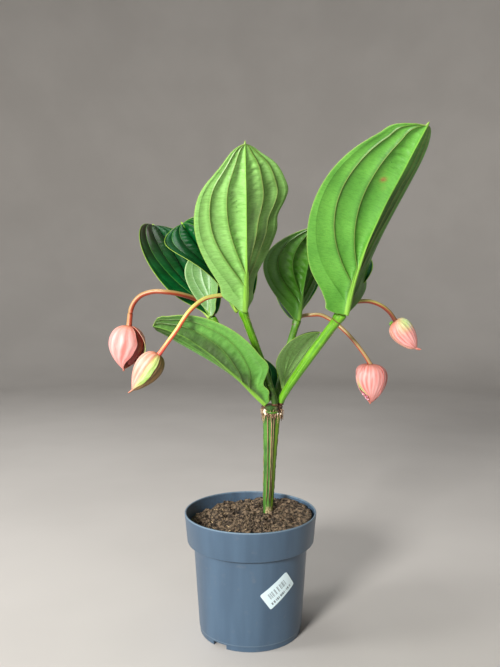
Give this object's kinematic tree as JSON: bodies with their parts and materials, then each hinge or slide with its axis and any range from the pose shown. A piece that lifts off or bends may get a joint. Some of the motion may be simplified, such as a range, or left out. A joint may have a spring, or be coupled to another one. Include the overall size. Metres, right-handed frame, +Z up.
{
  "type": "potted medinilla plant",
  "caption": "Young medinilla house plant with broad ribbed leaves and hanging pink buds on curved stalks, in a round plastic nursery pot with soil.",
  "frame": {"origin": "centre of the pot's foot ring, on the surface it stands on", "axes": "+Z up along the pot's axis, -Y towards the front of the plant, +X to its right as seen from the front"},
  "size_m": [0.3495, 0.2805, 0.5394],
  "materials": {
    "pot_plastic": "satin blue-grey injection-moulded plastic",
    "sticker_paper": "white satin sticker",
    "soil": "dark crumbly potting soil with bark flecks",
    "stem_bark": "ridged green and brown bark",
    "branch_green": "smooth green young wood with short bristles",
    "leaf_green": "glossy dark upper side, pale satin underside, sunken nerves",
    "stalk_red": "smooth orange-red to green flower stalk",
    "bud_pink": "soft satin pink bracts with fine lengthwise veins"
  },
  "bodies": {
    "root": {"pot": "pot_plastic", "label": "sticker_paper", "soil": "soil", "main_stem": "stem_bark", "branch_left": "branch_green", "branch_middle": "branch_green", "branch_rear": "branch_green", "branch_right": "branch_green", "leaf_left_front": "leaf_green", "leaf_left_back": "leaf_green", "leaf_middle_front": "leaf_green", "leaf_middle_back": "leaf_green", "leaf_rear_front": "leaf_green", "leaf_rear_back": "leaf_green", "leaf_right_front": "leaf_green", "leaf_right_back": "leaf_green", "leaf_lower_left": "leaf_green", "leaf_lower_right": "leaf_green", "leaf_lower_back_left": "leaf_green", "leaf_lower_back_right": "leaf_green", "stalk_left": "stalk_red", "stalk_middle": "stalk_red", "stalk_rear": "stalk_red", "stalk_right": "stalk_red", "bud_left": "bud_pink", "bud_middle": "bud_pink", "bud_rear": "bud_pink", "bud_right": "bud_pink"}
  },
  "joints": []
}
